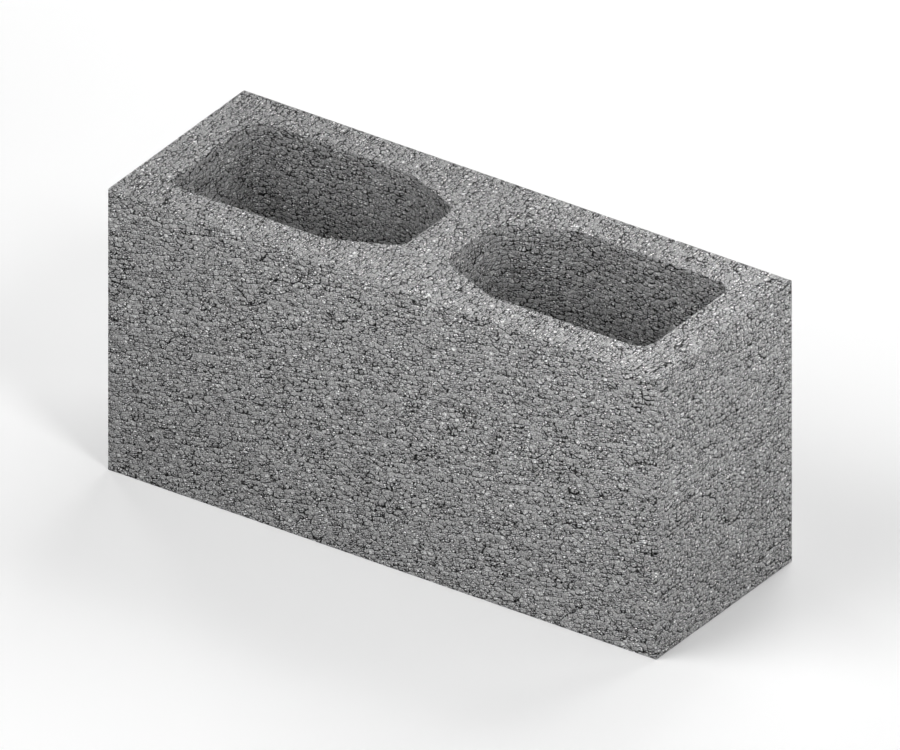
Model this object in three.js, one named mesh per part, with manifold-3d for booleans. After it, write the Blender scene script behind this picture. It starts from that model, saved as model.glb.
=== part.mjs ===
// Hollow concrete block for a 150 mm wall: one casting with two tapered cells right through it.
// It stands as it leaves the mould, with its thinner walls and the wider mouths of its cells up.
// Millimetres. +X runs along the block, +Y through it and +Z up. The origin is the middle of its foot.

import * as THREE from 'three';
import Module from 'manifold-3d';

// Driving dimensions of the casting.
const blockLength = 390;
const blockWidth = 140;
const blockHeight = 190;
const faceShell = 25; // the two long walls, at the top
const endWeb = 25; // the wall at each end, at the top
const centreWeb = 30; // the wall between the cells, at the top
const narrowEnd = 53; // width of a cell where it meets the centre web
const flareLength = 44; // length over which a cell widens from there to its full width
const cellRadius = 11; // upright corners of the cells, at the top
const cellDraft = 2; // how far each cell wall leans inwards from the top down to the foot
const cornerRadius = 0.6; // upright outer corners
const arris = 0.4; // bevel on the outer edges and on the mouths of the cells

// Making of the surfaces.
const arcStep = THREE.MathUtils.degToRad(10); // largest turn between two points of an arc
const arcSlack = 0.01; // share of a step by which rounding may lengthen an arc without adding a point
const cutRunout = 5; // how far a cell's cutter passes both faces

const wasm = await Module();
wasm.setup();

// The directions of the two sides that meet at one corner of a counterclockwise outline,
// and the unit vectors that point from them into the outline.
function sidesAt(corners, index) {
  const corner = corners[index];
  const along = corner.clone().sub(corners.at(index - 1)).normalize();
  const onward = corners[(index + 1) % corners.length].clone().sub(corner).normalize();
  const inFromAlong = new THREE.Vector2(-along.y, along.x);
  const inFromOnward = new THREE.Vector2(-onward.y, onward.x);
  return { corner, along, onward, inFromAlong, inFromOnward };
}

// Moves every side of an outline inwards by one distance, or outwards where it is negative.
function insetOutline(corners, distance) {
  return corners.map((_, index) => {
    const { corner, inFromAlong, inFromOnward } = sidesAt(corners, index);
    const reach = distance / (1 + inFromAlong.dot(inFromOnward));
    return corner.clone().addScaledVector(inFromAlong.add(inFromOnward), reach);
  });
}

// Rounds every corner of an outline with an arc that runs into both of its sides.
function roundOutline(corners, radius) {
  return corners.flatMap((_, index) => {
    const { corner, along, onward, inFromAlong } = sidesAt(corners, index);
    const turn = Math.acos(along.dot(onward));
    const start = corner.clone().addScaledVector(along, -radius * Math.tan(turn / 2));
    const centre = start.clone().addScaledVector(inFromAlong, radius);
    const steps = Math.ceil(turn / arcStep - arcSlack);
    return Array.from({ length: steps + 1 }, (_, step) =>
      start.clone().rotateAround(centre, (turn * step) / steps));
  });
}

// One level of a loft: the outline moved inwards by a distance, with its arcs moved alike.
function section(corners, radius, inset, height) {
  return { height, points: roundOutline(insetOutline(corners, inset), radius - inset) };
}

// Joins sections that have equal counts of points, listed from the bottom up, into one closed solid.
function loft(sections) {
  const count = sections[0].points.length;
  const vertices = sections.flatMap(({ points, height }) => points.flatMap(({ x, y }) => [x, y, height]));
  const triangles = [];
  for (let level = 1; level < sections.length; level += 1) {
    const lower = (level - 1) * count;
    const upper = level * count;
    for (let index = 0; index < count; index += 1) {
      const next = (index + 1) % count;
      triangles.push(lower + index, lower + next, upper + next);
      triangles.push(lower + index, upper + next, upper + index);
    }
  }
  const topStart = (sections.length - 1) * count;
  for (const [a, b, c] of THREE.ShapeUtils.triangulateShape(sections[0].points, [])) {
    triangles.push(a, c, b);
    triangles.push(topStart + a, topStart + b, topStart + c);
  }
  return new wasm.Manifold(new wasm.Mesh({
    numProp: 3,
    vertProperties: new Float32Array(vertices),
    triVerts: new Uint32Array(triangles),
  }));
}

// The outside of the casting: an upright box with round corners and a bevel round both ends.
function outerBody() {
  const halfLength = blockLength / 2;
  const halfWidth = blockWidth / 2;
  const corners = [
    new THREE.Vector2(-halfLength, -halfWidth),
    new THREE.Vector2(halfLength, -halfWidth),
    new THREE.Vector2(halfLength, halfWidth),
    new THREE.Vector2(-halfLength, halfWidth),
  ];
  return loft([
    section(corners, cornerRadius, arris, 0),
    section(corners, cornerRadius, 0, arris),
    section(corners, cornerRadius, 0, blockHeight - arris),
    section(corners, cornerRadius, arris, blockHeight),
  ]);
}

// The corners of the cell on the +X side, at the top: a rectangle whose end at the centre web
// is narrowed by a slanting wall on each side.
function cellCorners() {
  const innerX = centreWeb / 2;
  const fullX = innerX + flareLength;
  const outerX = blockLength / 2 - endWeb;
  const sideY = blockWidth / 2 - faceShell;
  const narrowY = narrowEnd / 2;
  return [
    new THREE.Vector2(innerX, -narrowY),
    new THREE.Vector2(fullX, -sideY),
    new THREE.Vector2(outerX, -sideY),
    new THREE.Vector2(outerX, sideY),
    new THREE.Vector2(fullX, sideY),
    new THREE.Vector2(innerX, narrowY),
  ];
}

// The same outline on the other side of the centre web.
function mirrored(corners) {
  return corners.map(({ x, y }) => new THREE.Vector2(-x, y)).reverse();
}

// A solid that fills one cell: tapered by the draft, and spread by the arris at both mouths.
function cellCutter(corners) {
  const lean = (height) => cellDraft * (1 - height / blockHeight);
  return loft([
    section(corners, cellRadius, lean(0) - arris, -cutRunout),
    section(corners, cellRadius, lean(0) - arris, 0),
    section(corners, cellRadius, lean(arris), arris),
    section(corners, cellRadius, lean(blockHeight - arris), blockHeight - arris),
    section(corners, cellRadius, lean(blockHeight) - arris, blockHeight),
    section(corners, cellRadius, lean(blockHeight) - arris, blockHeight + cutRunout),
  ]);
}

// The finished casting, as a geometry with plain faces.
function blockGeometry() {
  const rightCell = cellCutter(cellCorners());
  const leftCell = cellCutter(mirrored(cellCorners()));
  const casting = outerBody().subtract(rightCell).subtract(leftCell).getMesh();
  const geometry = new THREE.BufferGeometry();
  geometry.setAttribute('position', new THREE.BufferAttribute(casting.vertProperties, casting.numProp));
  geometry.setIndex(new THREE.BufferAttribute(casting.triVerts, 1));
  geometry.computeVertexNormals();
  return geometry;
}

const concrete = new THREE.MeshStandardMaterial({ color: '#a0a09f', roughness: 0.93, metalness: 0 });

const block = new THREE.Mesh(blockGeometry(), concrete);
block.name = 'concrete_block';

const part = new THREE.Group();
part.add(block);

export default part;
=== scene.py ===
import math
import random
from collections import namedtuple

import bpy
import numpy as np
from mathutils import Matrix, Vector, geometry


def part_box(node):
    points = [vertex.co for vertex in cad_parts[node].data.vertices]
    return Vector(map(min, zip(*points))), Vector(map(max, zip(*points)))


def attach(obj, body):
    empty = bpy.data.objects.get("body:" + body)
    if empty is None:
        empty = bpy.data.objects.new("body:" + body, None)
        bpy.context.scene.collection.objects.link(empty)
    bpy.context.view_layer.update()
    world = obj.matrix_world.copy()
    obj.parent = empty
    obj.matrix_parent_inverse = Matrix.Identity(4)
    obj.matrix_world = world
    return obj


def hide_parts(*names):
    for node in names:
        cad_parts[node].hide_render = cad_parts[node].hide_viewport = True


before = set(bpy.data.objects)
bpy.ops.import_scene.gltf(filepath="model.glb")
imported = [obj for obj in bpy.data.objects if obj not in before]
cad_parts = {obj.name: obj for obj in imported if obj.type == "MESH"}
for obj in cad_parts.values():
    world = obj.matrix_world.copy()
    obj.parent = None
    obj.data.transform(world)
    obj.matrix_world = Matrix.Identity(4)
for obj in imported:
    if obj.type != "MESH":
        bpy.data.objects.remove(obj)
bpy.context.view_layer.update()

MM = 0.001  # every length below is in metres, and most are written in millimetres

# The casting. Its outside comes from the part's box in model.glb, and its walls are those of the solid that
# it stands for.
node_low, node_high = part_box("concrete_block")
BLOCK_LENGTH, BLOCK_WIDTH, BLOCK_HEIGHT = node_high - node_low
FACE_SHELL = 25 * MM
END_WEB = 25 * MM
CENTRE_WEB = 30 * MM
NARROW_END = 53 * MM
FLARE_LENGTH = 44 * MM
CELL_RADIUS = 11 * MM
CELL_DRAFT = 2 * MM
CORNER_RADIUS = 0.6 * MM
ARRIS = 0.4 * MM

# How finely the surfaces are divided.
SKIN_STEP = 2.0 * MM  # on the outside and on the two beds
CELL_STEP = 2.7 * MM  # on the walls of the cells
ARC_STEPS = 2  # the fewest steps round a corner
ARRIS_STEPS = 2  # steps round an arris
BED_JITTER = 0.2  # how far a point of a bed strays from its even place, as a share of the step
BED_SEED = 41  # picks where the points stray to
BED_CLEARANCE = 0.7  # how far the points of a bed stay from its edges, as a share of the step
SAME_POINT = 1e-7  # points of a bed that lie nearer to each other than this are one

# Where the faces lie when they are unrolled: the outside first, the cells further along, and the beds
# to both sides, so far apart that no two share a pattern.
FACE_SPREAD = 1.5
CELLS_FROM = 0.9 * FACE_SPREAD
BEDS_FROM = 0.5 * FACE_SPREAD

# The relief in the mesh: grooves between lumps, lumps that lie deeper, and pits. A bend says how wide
# the pushes are that take the straight sides from a pattern, and how far they reach.
COARSE_BEND = 9 * MM, 5 * MM
COARSE_SIZE = 7 * MM
GROOVE_WIDTH, GROOVE_DEPTH = 1.8 * MM, 0.2 * MM
SUNK_SHARE, SUNK_DEPTH = 0.5, 0.25 * MM
PIT_BEND = 4 * MM, 4 * MM
PIT_SPACING = 15 * MM
PIT_SHARE, PIT_RADIUS, PIT_DEPTH = 0.25, 3.0 * MM, 1.6 * MM
PIT_BOTTOM = 0.35  # how far from its middle a pit begins to rise, as a share of its radius
LEAST_RADIUS = 0.01 * MM  # what is left of a pit's radius where there is no pit
EDGE_CALM = 5 * MM  # how far from an arris the surface is less open, because the mould holds it there
EDGE_DEPTH = 0.2  # how much of the depth is left at the arris itself

# The lumps that make up the surface in the material: how wide they are and how high they stand, how
# wide the shadows painted under them are at most, what share of the lumps has more than the narrowest
# painted shadow and how narrow that is, as a share of the widest, how dark a painted shadow makes the
# colour, and how much paler the upper rims of the lumps are painted, as a painted highlight.
LumpKind = namedtuple("LumpKind", "size dome void share thinnest shade rim")
STONES = LumpKind(size=6.5 * MM, dome=0.3 * MM, void=0.9 * MM, share=0.25, thinnest=0, shade=0.92, rim=0.02)
GRAINS = LumpKind(size=3.4 * MM, dome=0.5 * MM, void=0.8 * MM, share=0.7, thinnest=0.25, shade=0.92, rim=0.06)
CRUMBS = LumpKind(size=1.5 * MM, dome=0.45 * MM, void=0.75 * MM, share=1, thinnest=0.25, shade=0.9, rim=0.1)
PACKING = 0.85  # how unevenly the lumps lie, from 0, where they lie in rows, to 1
STONE_BEND = 4 * MM, 3.5 * MM
GRAIN_BEND = 1.6 * MM, 1.2 * MM
LUMP_SQUASH = 0.88, 1.1, 1.0  # factors on the pattern's length and height that make the lumps flatter
LUMP_LEAN = math.radians(13)  # how far the lumps of the long faces, and the shadows painted below them, climb to the right
CRUMBLY = 0.3, 0.6  # grains with a lower random number are whole, and those with a higher one in crumbs
WHOLE_GRAIN = 0.3  # how much the crumbs still show on a whole grain
LOOSE_PATCH = 28 * MM  # how wide the looser and the tighter patches are
LOOSE_RANGE = 0.35, 0.65  # the part of the noise that makes them
LOOSENESS = 0.1  # how much wider or narrower the painted shadows are there, as a share

# The shape of one lump, in shares of its size.
PAINTED_SHADOW_LEAN = 1.6  # how much the painted shadows differ in the side that they lean to
PAINTED_SHADOW_SIDE = -0.18, 0.34  # from where to where below the middle of a lump its painted shadow opens
PAINTED_HIGHLIGHT_SIDE = -0.34, -0.05  # the same for the fading of its painted highlight, a pale rim which lies above the middle
PAINTED_HIGHLIGHT_WIDTH = 0.08, 0.3  # how far in from the edge the painted highlight fades
DOME_WIDTH = 0.3  # how far in from the edge the lump rises
CORE_WIDTH = 0.15, 0.45  # how far out from its middle a pale speck fades
PAINTED_SHADOW_EDGE = 0.65, 1.15  # where a painted shadow fades, as shares of its own width
HAIRLINE = 0.02 * MM  # what is left of a painted shadow's width where there is none

# The colour of the concrete, from 0, black, to 1.
CEMENT_TONE = 0.5
GRAIN_TONES = 0.02  # how much lighter or darker a grain may be
CRUMB_TONES = 0.14  # how much a crumb may be
SAND_SIZE, SAND_TONES = 0.9 * MM, 0.22  # and the sand in them, as a share
SAND_RANGE = 0.3, 0.7  # the part of the noise that makes the sand
PALE_CRUMBS, CRUMB_SPECK = 0.6, 0.85  # crumbs with a higher random number have specks, up to this pale
PALE_GRAINS, GRAIN_SPECK = 0.85, 0.5  # the same for grains
PAINTED_PIT_SHADE_DEPTH = 0.6 * MM, 1.5 * MM  # from where to where down a pit the colour is painted darker, as shade
PAINTED_PIT_SHADE_TONE = 0.4  # and what share of its tone is left there
BED_OPENNESS = 0.1  # how much wider the painted shadows of the beds are, as a share
BED_SPECKS = 0.2  # and how much paler their specks
PAINTED_CELL_SHADE_TONE = 0.78  # how light the walls of the cells are beside the outside: painted shade, darker all over inside the cells

# The view: parallel lines stay parallel, as through a very long lens.
FRONT = -90  # degrees from +X round to the front
VIEW_AZIMUTH = 34.66  # degrees from the front round to the right
VIEW_ELEVATION = 30.17  # degrees up
VIEW_WIDTH = 526.4 * MM  # what the width of the picture covers
CAMERA_DISTANCE = 3.0

# The floor, a sheet of white paper.
FLOOR_SIZE = 8.0
LIT_FLOOR = 0.5  # how far from the middle of the block the floor begins to fade to plain white
WHITE_FLOOR = 1.0  # and where it is plain white
FLOOR_BOUNCE = 0.35  # how light the floor is to the light that it throws back

# Square lamps round the block: the way that each one's light comes from, as degrees round from +X and
# degrees up, how far off it stands and how wide it is, and its light on a face that looks at it, where
# all of them together show a colour about as it is written. The block and the floor have lamps of their
# own: those of the block model its faces, and those of the floor give its shadow.
BLOCK_LAMPS = {
    "left_front": (240, 38, 0.75, 0.4, 0.21),
    "front_low": (300, 15, 0.75, 0.4, 0.25),
    "right_front": (300, 38, 0.75, 0.4, 0.23),
    "front_high": (270, 62, 0.75, 0.4, 0.22),
    "right_high": (0, 38, 0.75, 0.4, 0.25),
    "right_back_high": (30, 38, 0.75, 0.4, 0.29),
    "right_back_low": (30, 15, 0.75, 0.4, 0.11),
    "back_low": (120, 15, 1.3, 0.3, 0.42),
    "left_back_low": (150, 15, 1.3, 0.3, 0.34),
}
FLOOR_LAMPS = {
    "floor_right_back": (15, 27, 1.3, 0.9, 0.18),
    "floor_back": (75, 50, 1.3, 0.6, 0.26),
    "floor_back_high": (105, 62, 1.3, 0.3, 0.05),
    "floor_back_low": (105, 15, 1.3, 0.6, 0.35),
    "floor_left_back": (150, 15, 1.3, 0.3, 0.13),
    "floor_left_front": (240, 50, 1.3, 0.9, 0.65),
    "floor_right_front": (330, 50, 1.3, 0.3, 0.28),
}

dice = random.Random(BED_SEED)


# ---------------------------------------------------------------- objects, materials and nodes

def placed(name, data):
    """A new object in the scene."""
    thing = bpy.data.objects.new(name, data)
    bpy.context.scene.collection.objects.link(thing)
    return thing


def stand_off(thing, azimuth, elevation, distance):
    """Stands a lamp or the camera off the middle of the block, looking at it. The azimuth is in degrees
    round from +X, and the elevation in degrees up."""
    round_angle, up_angle = math.radians(azimuth), math.radians(elevation)
    towards = Vector((math.cos(round_angle) * math.cos(up_angle),
                      math.sin(round_angle) * math.cos(up_angle), math.sin(up_angle)))
    thing.location = (node_low + node_high) / 2 + towards * distance
    thing.rotation_mode = "QUATERNION"
    thing.rotation_quaternion = towards.to_track_quat("Z", "Y")


def new_material(name):
    """A new material and its shader."""
    material = bpy.data.materials.new(name)
    material.use_nodes = True
    return material, material.node_tree.nodes["Principled BSDF"]


class Tree:
    """Short ways to add and join nodes, the same for a material's tree and a mesh's tree."""

    def __init__(self, tree, dimensions):
        self.tree = tree
        self.dimensions = dimensions  # "2D" for patterns on the unrolled faces, "3D" for those in space

    def add(self, kind, **settings):
        """A new node with its settings."""
        node = self.tree.nodes.new(kind)
        for name, value in settings.items():
            setattr(node, name, value)
        return node

    def join(self, value, socket):
        """Feeds a socket with another node's output, or sets it to a plain value."""
        if isinstance(value, bpy.types.NodeSocket):
            self.tree.links.new(value, socket)
        else:
            socket.default_value = value

    def math(self, operation, *values):
        """The number that an operation makes of the values."""
        node = self.add("ShaderNodeMath", operation=operation)
        for value, socket in zip(values, node.inputs):
            self.join(value, socket)
        return node.outputs[0]

    def vector(self, operation, *values):
        """The vector that an operation makes of the values."""
        node = self.add("ShaderNodeVectorMath", operation=operation)
        for value, socket in zip(values, node.inputs):
            self.join(value, socket)
        return node.outputs[0]

    def scaled(self, vector, factor):
        """The vector times the factor."""
        node = self.add("ShaderNodeVectorMath", operation="SCALE")
        self.join(vector, node.inputs[0])
        self.join(factor, node.inputs["Scale"])
        return node.outputs[0]

    def parts(self, vector):
        """The three numbers of a vector or a colour."""
        node = self.add("ShaderNodeSeparateXYZ")
        self.join(vector, node.inputs[0])
        return node.outputs

    def grey(self, tone):
        """A colour whose three numbers are all the tone."""
        node = self.add("ShaderNodeCombineXYZ")
        for socket in node.inputs:
            self.join(tone, socket)
        return node.outputs[0]

    def step(self, value, low, high, at_low=0.0, at_high=1.0):
        """A smooth change from at_low to at_high as the value goes from low to high."""
        node = self.add("ShaderNodeMapRange", interpolation_type="SMOOTHSTEP")
        for name, number in (("Value", value), ("From Min", low), ("From Max", high),
                             ("To Min", at_low), ("To Max", at_high)):
            self.join(number, node.inputs[name])
        return node.outputs[0]

    def raised(self, mask, share):
        """1, and more by the share where the mask is 1."""
        return self.math("MULTIPLY_ADD", mask, share, 1.0)

    def dimmed(self, value, mask, share):
        """The value, and less by the share where the mask is 1."""
        return self.math("MULTIPLY", value, self.math("SUBTRACT", 1.0, self.math("MULTIPLY", mask, share)))

    def noise(self, point, size, detail):
        """Soft random values about size apart: the number and the colour outputs."""
        node = self.add("ShaderNodeTexNoise", noise_dimensions=self.dimensions)
        self.join(point, node.inputs["Vector"])
        self.join(1 / size, node.inputs["Scale"])
        self.join(detail, node.inputs["Detail"])
        return node.outputs[0], node.outputs[1]

    def packed(self, point, size, feature, randomness=1.0):
        """The outputs of a pattern of packed lumps about size across."""
        node = self.add("ShaderNodeTexVoronoi", feature=feature, voronoi_dimensions=self.dimensions)
        self.join(point, node.inputs["Vector"])
        self.join(1 / size, node.inputs["Scale"])
        self.join(randomness, node.inputs["Randomness"])
        return node.outputs


# ---------------------------------------------------------------- the mesh of the block

def sides_at(corners, index):
    """The directions of the two sides that meet at a corner, and the one that points in from the first."""
    corner = corners[index]
    along = corner - corners[index - 1]
    onward = corners[(index + 1) % len(corners)] - corner
    along = along / np.hypot(*along)
    onward = onward / np.hypot(*onward)
    return along, onward, np.array([-along[1], along[0]])


def inset_corners(corners, inset):
    """The corners of the outline whose sides all lie inset further in."""
    moved = []
    for index, corner in enumerate(corners):
        _, onward, inward = sides_at(corners, index)
        inward_next = np.array([-onward[1], onward[0]])
        moved.append(corner + (inward + inward_next) * inset / (1 + inward @ inward_next))
    return moved


def ring(corners, radius, inset, step):
    """Points round an outline with arcs at its corners, about a step apart.
    Their count doesn't depend on the inset, so rings of one outline can be joined."""
    moved = inset_corners(corners, inset)
    arc_radius = radius - inset
    points = []
    for index, corner in enumerate(moved):
        along, onward, inward = sides_at(moved, index)
        turn = math.acos(along @ onward)
        setback = math.tan(turn / 2)
        arc_steps = max(ARC_STEPS, round(radius * turn / step))
        centre = corner - along * arc_radius * setback + inward * arc_radius
        for k in range(arc_steps):
            angle = turn * k / arc_steps
            points.append(centre + arc_radius * (along * math.sin(angle) - inward * math.cos(angle)))
        full_side = corners[(index + 1) % len(corners)] - corners[index]
        next_along, next_onward, _ = sides_at(moved, (index + 1) % len(moved))
        next_setback = math.tan(math.acos(next_along @ next_onward) / 2)
        start = corner + onward * arc_radius * setback
        end = moved[(index + 1) % len(moved)] - onward * arc_radius * next_setback
        side_steps = max(1, round((np.hypot(*full_side) - radius * (setback + next_setback)) / step))
        for k in range(side_steps):
            points.append(start + (end - start) * k / side_steps)
    return np.array(points)


def wall_levels(step):
    """Heights from the foot to the top, with the round of the arris at both ends."""
    rise = [ARRIS * (1 - math.cos(math.pi / 2 * k / ARRIS_STEPS)) for k in range(ARRIS_STEPS)]
    flat_steps = round((BLOCK_HEIGHT - 2 * ARRIS) / step)
    flat = [ARRIS + (BLOCK_HEIGHT - 2 * ARRIS) * k / flat_steps for k in range(flat_steps + 1)]
    return rise + flat + [BLOCK_HEIGHT - height for height in reversed(rise)]


def arris_inset(height):
    """How far the round of the arris draws a wall back at a height."""
    depth = max(ARRIS - height, height - (BLOCK_HEIGHT - ARRIS), 0)
    return ARRIS - math.sqrt(max(ARRIS ** 2 - depth ** 2, 0))


def cell_lean(height):
    """How far the draft moves a cell's walls in at a height."""
    return CELL_DRAFT * (1 - height / BLOCK_HEIGHT)


def outer_corners():
    """The corners of the outside, counterclockwise from the front left one."""
    x, y = BLOCK_LENGTH / 2, BLOCK_WIDTH / 2
    return [np.array(p) for p in ((-x, -y), (x, -y), (x, y), (-x, y))]


def cell_corners(side):
    """The corners of a cell at the top, counterclockwise; side is 1 for the cell at +X, -1 for the other."""
    inner, outer = CENTRE_WEB / 2, BLOCK_LENGTH / 2 - END_WEB
    full = inner + FLARE_LENGTH
    y, narrow = BLOCK_WIDTH / 2 - FACE_SHELL, NARROW_END / 2
    corners = [(inner, -narrow), (full, -y), (outer, -y), (outer, y), (full, y), (inner, narrow)]
    turned = [np.array((side * px, py)) for px, py in corners]
    return turned if side > 0 else turned[::-1]


def inside(points, outline):
    """Which of the points lie inside a closed outline, by counting the sides to their right."""
    x, y = points[:, 0], points[:, 1]
    odd = np.zeros(len(points), bool)
    for (x0, y0), (x1, y1) in zip(outline, np.roll(outline, -1, 0)):
        if y0 == y1:
            continue
        crossing = (y0 > y) != (y1 > y)
        odd ^= crossing & (x < x0 + (y - y0) * (x1 - x0) / (y1 - y0))
    return odd


def even_points(step):
    """Points about a step apart all over the block's length and width, each a little out of its place."""
    row_height = step * math.sqrt(3) / 2
    points = []
    for row in range(1, int(BLOCK_WIDTH / row_height)):
        for column in range(1, int(BLOCK_LENGTH / step)):
            x = -BLOCK_LENGTH / 2 + (column + row % 2 / 2) * step + dice.uniform(-1, 1) * BED_JITTER * step
            y = -BLOCK_WIDTH / 2 + row * row_height + dice.uniform(-1, 1) * BED_JITTER * step
            points.append((x, y))
    return np.array(points)


class Casting:
    """Collects the vertices and triangles of the block, and where each corner lies on its unrolled face."""

    def __init__(self):
        self.points = []
        self.edge_gaps = []  # how far each point lies from the nearest arris
        self.faces = []
        self.places = []  # where each corner of each face lies on the unrolled faces

    def add_points(self, points, height, edge_gaps):
        """Adds points that lie at one height, and gives their numbers."""
        first = len(self.points)
        self.points.extend((x, y, height) for x, y in points)
        self.edge_gaps.extend(edge_gaps)
        return list(range(first, len(self.points)))

    def add_face(self, corners, places, flip):
        """Adds a triangle, given counterclockwise as seen from outside, or clockwise where flip is true."""
        self.faces.append(corners[::-1] if flip else corners)
        self.places.extend(places[::-1] if flip else places)

    def add_wall(self, rings, outward, offset):
        """Joins rings of point numbers, from the foot up; outward is whether they run round a solid.
        The wall unrolls from its first point, moved along by the offset."""
        top = np.array([self.points[number] for number in rings[-1]])
        lengths = np.hypot(*(np.roll(top, -1, 0) - top)[:, :2].T)
        along = offset + np.concatenate([[0], np.cumsum(lengths)])
        for level, (lower, upper) in enumerate(zip(rings, rings[1:])):
            count = len(lower)
            low, high = self.points[lower[0]][2], self.points[upper[0]][2]
            for k in range(count):
                numbers = (lower[k], lower[(k + 1) % count], upper[(k + 1) % count], upper[k])
                places = ((along[k], low), (along[k + 1], low), (along[k + 1], high), (along[k], high))
                for a, b, c in ((0, 1, 2), (0, 2, 3)) if (k + level) % 2 else ((0, 1, 3), (1, 2, 3)):
                    self.add_face((numbers[a], numbers[b], numbers[c]), (places[a], places[b], places[c]),
                                  flip=not outward)

    def add_bed(self, outline, holes, height, step, upward, offset):
        """Fills the flat face between an outline and its holes, all given as rings of point numbers.
        On the unrolled faces it lies at the offset."""
        numbers = [number for loop in (outline, *holes) for number in loop]
        flat = [Vector(self.points[number][:2]) for number in numbers]
        edges = []
        first = 0
        for loop in (outline, *holes):
            edges += [(first + k, first + (k + 1) % len(loop)) for k in range(len(loop))]
            first += len(loop)
        edge_points = np.array([point[:] for point in flat])
        hole_outlines = [np.array([self.points[number][:2] for number in loop]) for loop in holes]
        inner = even_points(step)
        edge_gaps = np.array([np.hypot(*(edge_points - point).T).min() for point in inner])
        clear = edge_gaps > BED_CLEARANCE * step
        for hole in hole_outlines:
            clear &= ~inside(inner, hole)
        clear &= inside(inner, edge_points[:len(outline)])
        numbers += self.add_points(inner[clear], height, edge_gaps[clear])
        flat += [Vector(point) for point in inner[clear]]
        verts, _, triangles, sources, _, _ = geometry.delaunay_2d_cdt(flat, edges, [], 0, SAME_POINT, True)
        centres = np.array([sum((verts[k] for k in tri), Vector((0, 0))) / 3 for tri in triangles])
        kept = np.ones(len(centres), bool)
        for hole in hole_outlines:
            kept &= ~inside(centres, hole)
        for tri, keep in zip(triangles, kept):
            if keep:
                places = tuple((verts[k].y, verts[k].x + offset) for k in tri)
                self.add_face(tuple(numbers[sources[k][0]] for k in tri), places, flip=not upward)


def smooth_casting():
    """The block before its surface is opened up, as points and triangles."""
    casting = Casting()
    skin = []
    for z in wall_levels(SKIN_STEP):
        points = ring(outer_corners(), CORNER_RADIUS, arris_inset(z), SKIN_STEP)
        from_corner = np.max((BLOCK_LENGTH / 2, BLOCK_WIDTH / 2) - np.abs(points), axis=1)
        skin.append(casting.add_points(points, z, np.minimum(from_corner, min(z, BLOCK_HEIGHT - z))))
    casting.add_wall(skin, outward=True, offset=0)
    cells = []
    for side in (1, -1):
        corners = cell_corners(side)
        rings = []
        for z in wall_levels(CELL_STEP):
            points = ring(corners, CELL_RADIUS, cell_lean(z) - arris_inset(z), CELL_STEP)
            rings.append(casting.add_points(points, z, np.full(len(points), min(z, BLOCK_HEIGHT - z))))
        casting.add_wall(rings, outward=False, offset=(2 + side) * FACE_SPREAD)
        cells.append(rings)
    casting.add_bed(skin[-1], [rings[-1] for rings in cells], BLOCK_HEIGHT, SKIN_STEP,
                    upward=True, offset=FACE_SPREAD)
    casting.add_bed(skin[0], [rings[0] for rings in cells], 0, SKIN_STEP, upward=False, offset=-FACE_SPREAD)
    return casting


def block_mesh():
    """The smooth casting as a mesh, with its unrolled faces and each point's way to the nearest arris."""
    casting = smooth_casting()
    mesh = bpy.data.meshes.new("pressed_block")
    mesh.from_pydata(casting.points, [], casting.faces)
    face_map = mesh.uv_layers.new(name="face_map")
    face_map.uv.foreach_set("vector", np.array(casting.places, np.float32).ravel())
    edge_gap = mesh.attributes.new("edge_gap", "FLOAT", "POINT")
    edge_gap.data.foreach_set("value", np.array(casting.edge_gaps, np.float32))
    mesh.shade_smooth()
    return mesh


# ---------------------------------------------------------------- the open surface of pressed concrete

def bent(tree, point, bend):
    """The point pushed about at random, so that lumps drawn there lose their straight sides."""
    size, reach = bend
    _, colour = tree.noise(point, size, detail=1.0)
    centred = tree.vector("SUBTRACT", colour, (0.5, 0.5, 0.5))
    return tree.vector("ADD", point, tree.scaled(centred, reach))


def coarse_depth(tree, point):
    """Depth below the mould's face of what is large enough to be in the mesh."""
    lump_point = bent(tree, point, COARSE_BEND)
    seam = tree.packed(lump_point, COARSE_SIZE, "DISTANCE_TO_EDGE")["Distance"]
    groove = tree.step(tree.math("MULTIPLY", seam, COARSE_SIZE), 0.0, GROOVE_WIDTH, GROOVE_DEPTH, 0.0)
    lump_number = tree.parts(tree.packed(lump_point, COARSE_SIZE, "F1")["Color"])
    sunk = tree.step(lump_number[0], 1 - SUNK_SHARE, 1.0, 0.0, SUNK_DEPTH)
    pit = tree.packed(bent(tree, point, PIT_BEND), PIT_SPACING, "F1")
    radius = tree.step(tree.parts(pit["Color"])[1], 1 - PIT_SHARE, 1.0, 0.0, PIT_RADIUS)
    from_middle = tree.math("DIVIDE", tree.math("MULTIPLY", pit["Distance"], PIT_SPACING),
                            tree.math("ADD", radius, LEAST_RADIUS))
    pit_depth = tree.step(from_middle, PIT_BOTTOM, 1.0, PIT_DEPTH, 0.0)
    return tree.math("MAXIMUM", tree.math("ADD", groove, sunk), pit_depth)


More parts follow.
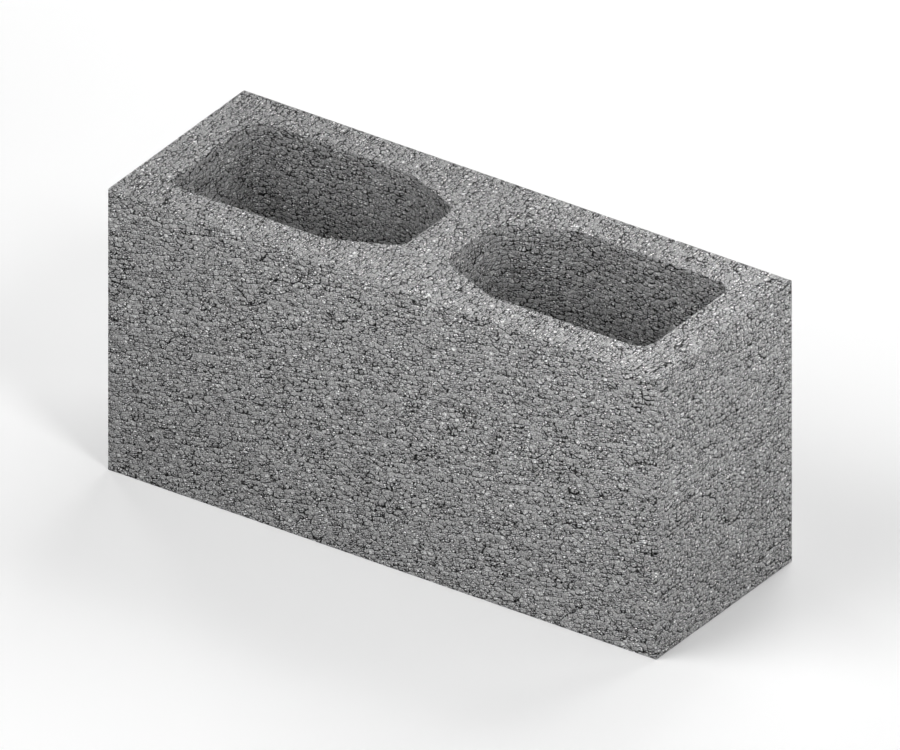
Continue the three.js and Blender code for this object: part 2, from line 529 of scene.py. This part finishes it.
def relief_nodes():
    """Geometry nodes that press the relief into the smooth casting and keep its depth at each point."""
    group = bpy.data.node_groups.new("open_surface", "GeometryNodeTree")
    group.interface.new_socket("Geometry", in_out="INPUT", socket_type="NodeSocketGeometry")
    group.interface.new_socket("Geometry", in_out="OUTPUT", socket_type="NodeSocketGeometry")
    tree = Tree(group, "3D")
    start = tree.add("NodeGroupInput")
    end = tree.add("NodeGroupOutput")
    position = tree.add("GeometryNodeInputPosition").outputs[0]
    normal = tree.add("GeometryNodeInputNormal").outputs[0]
    edge_gap = tree.add("GeometryNodeInputNamedAttribute", data_type="FLOAT")
    edge_gap.inputs["Name"].default_value = "edge_gap"
    calm = tree.step(edge_gap.outputs["Attribute"], 0.0, EDGE_CALM, EDGE_DEPTH, 1.0)
    depth = tree.math("MULTIPLY", coarse_depth(tree, position), calm)
    keep = tree.add("GeometryNodeStoreNamedAttribute", data_type="FLOAT", domain="POINT")
    keep.inputs["Name"].default_value = "mould_depth"
    tree.join(start.outputs[0], keep.inputs["Geometry"])
    tree.join(depth, keep.inputs["Value"])
    move = tree.add("GeometryNodeSetPosition")
    tree.join(keep.outputs[0], move.inputs["Geometry"])
    tree.join(tree.scaled(normal, tree.math("MULTIPLY", depth, -1.0)), move.inputs["Offset"])
    tree.join(move.outputs[0], end.inputs[0])
    return group


def open_up(thing):
    """Gives the object the mesh that its relief nodes make."""
    modifier = thing.modifiers.new("open_surface", "NODES")
    modifier.node_group = relief_nodes()
    graph = bpy.context.evaluated_depsgraph_get()
    mesh = bpy.data.meshes.new_from_object(thing.evaluated_get(graph))
    thing.modifiers.clear()
    thing.data = mesh
    mesh.shade_smooth()


# What lumps of one kind give: the masks of the shadows painted below them and of the highlights painted
# on their upper rims, how far a point has risen from the edge of its lump, as 0 to 1, how far it lies from
# the middle, in sizes, and three random numbers a lump.
Lumps = namedtuple("Lumps", "void rim dome from_middle number")


def packed_lumps(tree, place, kind, openness):
    """Lumps of one kind side by side, with crescent shadows painted below them and highlights painted on
    their upper rims.
    """
    size = kind.size
    seam = tree.packed(place, size, "DISTANCE_TO_EDGE", PACKING)
    lump = tree.packed(place, size, "F1", PACKING)
    gap = tree.math("MULTIPLY", seam["Distance"], size)
    number = tree.parts(lump["Color"])
    away = tree.parts(tree.vector("SUBTRACT", place, lump["Position"]))
    lean = tree.math("MULTIPLY", tree.math("SUBTRACT", number[1], 0.5), PAINTED_SHADOW_LEAN)
    below = tree.math("SUBTRACT", tree.math("MULTIPLY", away[0], lean), away[1])
    under = tree.step(below, *(share * size for share in PAINTED_SHADOW_SIDE))
    widest = tree.math("MULTIPLY", under, tree.math("MULTIPLY", openness, kind.void))
    width = tree.math("MULTIPLY", widest, tree.step(number[0], 1 - kind.share, 1.0, kind.thinnest, 1.0))
    from_seam = tree.math("DIVIDE", gap, tree.math("ADD", width, HAIRLINE))
    over = tree.step(below, *(share * size for share in PAINTED_HIGHLIGHT_SIDE), 1.0, 0.0)
    near_seam = tree.step(gap, *(share * size for share in PAINTED_HIGHLIGHT_WIDTH), 1.0, 0.0)
    return Lumps(void=tree.step(from_seam, *PAINTED_SHADOW_EDGE, 1.0, 0.0),
                 rim=tree.math("MULTIPLY", over, near_seam),
                 dome=tree.step(gap, 0.0, DOME_WIDTH * size),
                 from_middle=lump["Distance"],
                 number=number)


def lump_height(tree, stones, grains, crumbs, crumbly):
    """How high the surface stands, with one dome on another."""
    height = tree.math("MULTIPLY", stones.dome, STONES.dome)
    height = tree.math("MULTIPLY_ADD", grains.dome, GRAINS.dome, height)
    return tree.math("MULTIPLY_ADD", tree.math("MULTIPLY", crumbs.dome, crumbly), CRUMBS.dome, height)


def lump_tone(tree, stones, grains, crumbs, crumbly):
    """The grey of every lump, with a painted highlight at its upper rim."""
    rim = tree.math("MULTIPLY_ADD", grains.rim, GRAINS.rim, tree.math("MULTIPLY", stones.rim, STONES.rim))
    rim = tree.math("MULTIPLY_ADD", tree.math("MULTIPLY", crumbs.rim, crumbly), CRUMBS.rim, rim)
    of_grain = tree.step(grains.number[2], 0.0, 1.0, CEMENT_TONE - GRAIN_TONES, CEMENT_TONE + GRAIN_TONES)
    of_crumb = tree.step(crumbs.number[1], 0.0, 1.0, -CRUMB_TONES, CRUMB_TONES)
    return tree.math("ADD", tree.math("ADD", rim, of_grain), tree.math("MULTIPLY", crumbly, of_crumb))


def pale_specks(tree, lumps, pale_from, paleness):
    """How pale the middles are of those lumps whose third random number is high."""
    pale = tree.step(lumps.number[2], pale_from, 1.0, 0.0, paleness)
    return tree.math("MULTIPLY", pale, tree.step(lumps.from_middle, *CORE_WIDTH, 1.0, 0.0))


def packed_surface(tree, place, on_bed):
    """Height and tone of the lumps on the unrolled faces; the mask tells the beds, which are more open, with
    wider painted shadows.
    """
    squashed = tree.vector("MULTIPLY", place, LUMP_SQUASH)
    openness = tree.raised(on_bed, BED_OPENNESS)
    patch, _ = tree.noise(squashed, LOOSE_PATCH, detail=2.0)
    loose = tree.math("MULTIPLY", openness, tree.step(patch, *LOOSE_RANGE, 1 - LOOSENESS, 1 + LOOSENESS))
    grain_place = bent(tree, squashed, GRAIN_BEND)
    stones = packed_lumps(tree, bent(tree, squashed, STONE_BEND), STONES, loose)
    grains = packed_lumps(tree, grain_place, GRAINS, loose)
    crumbly = tree.step(grains.number[1], *CRUMBLY, WHOLE_GRAIN, 1.0)
    crumbs = packed_lumps(tree, grain_place, CRUMBS, tree.math("MULTIPLY", crumbly, openness))

    tone = lump_tone(tree, stones, grains, crumbs, crumbly)
    sand, _ = tree.noise(place, SAND_SIZE, detail=1.0)
    tone = tree.math("MULTIPLY", tone, tree.step(sand, *SAND_RANGE, 1 - SAND_TONES, 1 + SAND_TONES))
    specks = tree.math("MAXIMUM", pale_specks(tree, grains, PALE_GRAINS, GRAIN_SPECK),
                       tree.math("MULTIPLY", pale_specks(tree, crumbs, PALE_CRUMBS, CRUMB_SPECK), crumbly))
    tone = tree.math("ADD", tone, tree.math("MULTIPLY", specks, tree.raised(on_bed, BED_SPECKS)))
    # Painted shade: each kind of lump darkens the colour in a crescent below it, where its shadow would fall.
    for lumps, kind in ((stones, STONES), (grains, GRAINS), (crumbs, CRUMBS)):
        tone = tree.dimmed(tone, lumps.void, kind.shade)
    return lump_height(tree, stones, grains, crumbs, crumbly), tone


def pressed_concrete():
    """Dry, open concrete: matt, a grey of its own for every lump, with painted shade in crescents below the
    lumps, in its pits and on the walls of the cells.
    """
    material, shader = new_material("pressed_concrete")
    tree = Tree(material.node_tree, "2D")
    shader.inputs["Roughness"].default_value = 0.9
    shader.inputs["Specular IOR Level"].default_value = 0.1
    place = tree.add("ShaderNodeUVMap", uv_map="face_map").outputs[0]
    depth = tree.add("ShaderNodeAttribute", attribute_name="mould_depth").outputs["Fac"]
    along, across, _ = tree.parts(place)
    on_bed = tree.math("GREATER_THAN", tree.math("ABSOLUTE", across), BEDS_FROM)
    in_cell = tree.math("GREATER_THAN", along, CELLS_FROM)
    # Round the outside a long face and an end follow each other twice, and lumps lean on the long faces, with
    # the shadows painted below them.
    past_corner = tree.math("MODULO", along, BLOCK_LENGTH + BLOCK_WIDTH)
    elsewhere = tree.math("ADD", in_cell, on_bed)
    on_long_face = tree.math("LESS_THAN", tree.math("ADD", past_corner, elsewhere), BLOCK_LENGTH)
    leaning = tree.add("ShaderNodeVectorRotate", rotation_type="Z_AXIS")
    tree.join(place, leaning.inputs["Vector"])
    tree.join(tree.math("MULTIPLY", on_long_face, -LUMP_LEAN), leaning.inputs["Angle"])

    height, tone = packed_surface(tree, leaning.outputs[0], on_bed)
    # Painted shade: the colour darkens the deeper a pit goes.
    tone = tree.math("MULTIPLY", tone, tree.step(depth, *PAINTED_PIT_SHADE_DEPTH, 1.0, PAINTED_PIT_SHADE_TONE))
    # Painted shade: the walls of the cells are darker all over.
    tone = tree.dimmed(tone, in_cell, 1 - PAINTED_CELL_SHADE_TONE)
    tree.join(tree.grey(tone), shader.inputs["Base Color"])
    bump = tree.add("ShaderNodeBump")
    bump.inputs["Distance"].default_value = 1.0
    bump.inputs["Strength"].default_value = 1.0
    tree.join(height, bump.inputs["Height"])
    tree.join(bump.outputs[0], shader.inputs["Normal"])
    return material


block = placed("pressed_block", block_mesh())
open_up(block)
block.data.materials.append(pressed_concrete())

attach(block, "root")
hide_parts("concrete_block")


# ---------------------------------------------------------------- studio

def seen_directly(tree):
    """1 for the camera and for what gloss and glass show of the background, and 0 for the light it throws."""
    rays = tree.add("ShaderNodeLightPath").outputs
    return tree.math("MAXIMUM", rays["Is Camera Ray"],
                     tree.math("MAXIMUM", rays["Is Glossy Ray"], rays["Is Transmission Ray"]))


def floor_paper():
    """White paper: lit like the block near it and plain white further off where it is seen directly,
    and a middle grey to the light that it throws back on the block."""
    material, shader = new_material("floor_paper")
    tree = Tree(material.node_tree, "3D")
    shader.inputs["Specular IOR Level"].default_value = 0
    shader.inputs["Roughness"].default_value = 1
    shader.inputs["Emission Color"].default_value = (1, 1, 1, 1)
    seen = seen_directly(tree)
    reach = tree.add("ShaderNodeVectorMath", operation="LENGTH")
    tree.join(tree.add("ShaderNodeNewGeometry").outputs["Position"], reach.inputs[0])
    far = tree.step(reach.outputs["Value"], LIT_FLOOR, WHITE_FLOOR)
    tree.join(tree.math("MULTIPLY", seen, far), shader.inputs["Emission Strength"])
    near_white = tree.math("SUBTRACT", 1.0, far)
    tone = tree.math("MULTIPLY_ADD", seen, tree.math("SUBTRACT", near_white, FLOOR_BOUNCE), FLOOR_BOUNCE)
    tree.join(tree.grey(tone), shader.inputs["Base Color"])
    return material


def studio_floor():
    """A wide sheet of paper that the block stands on."""
    half = FLOOR_SIZE / 2
    mesh = bpy.data.meshes.new("studio_floor")
    mesh.from_pydata([(-half, -half, 0), (half, -half, 0), (half, half, 0), (-half, half, 0)], [],
                     [(0, 1, 2, 3)])
    mesh.materials.append(floor_paper())
    return placed("studio_floor", mesh)


def white_world():
    """A world that is white where it is seen directly, and throws no light."""
    world = bpy.data.worlds.new("studio")
    world.use_nodes = True
    background = world.node_tree.nodes["Background"]
    background.inputs["Color"].default_value = (1, 1, 1, 1)
    tree = Tree(world.node_tree, "3D")
    tree.join(seen_directly(tree), background.inputs["Strength"])
    return world


def light(thing, lamps):
    """Sets up lamps that all look at the middle of the block and light one object alone."""
    lit = bpy.data.collections.new("lit_" + thing.name)
    lit.objects.link(thing)
    for name, (azimuth, elevation, distance, width, strength) in lamps.items():
        lamp = placed(name, bpy.data.lights.new(name, "AREA"))
        stand_off(lamp, azimuth, elevation, distance)
        lamp.data.size = width
        lamp.data.energy = strength * (math.pi * distance) ** 2  # the watts that give the strength there
        lamp.visible_camera = False
        lamp.light_linking.receiver_collection = lit


def view_camera():
    """The camera, to which parallel lines stay parallel."""
    camera = placed("camera", bpy.data.cameras.new("camera"))
    camera.data.type = "ORTHO"
    camera.data.ortho_scale = VIEW_WIDTH
    stand_off(camera, FRONT + VIEW_AZIMUTH, VIEW_ELEVATION, CAMERA_DISTANCE)
    return camera


floor = studio_floor()
bpy.context.scene.world = white_world()
light(block, BLOCK_LAMPS)
light(floor, FLOOR_LAMPS)
bpy.context.scene.camera = view_camera()
bpy.context.scene.view_settings.view_transform = "Standard"
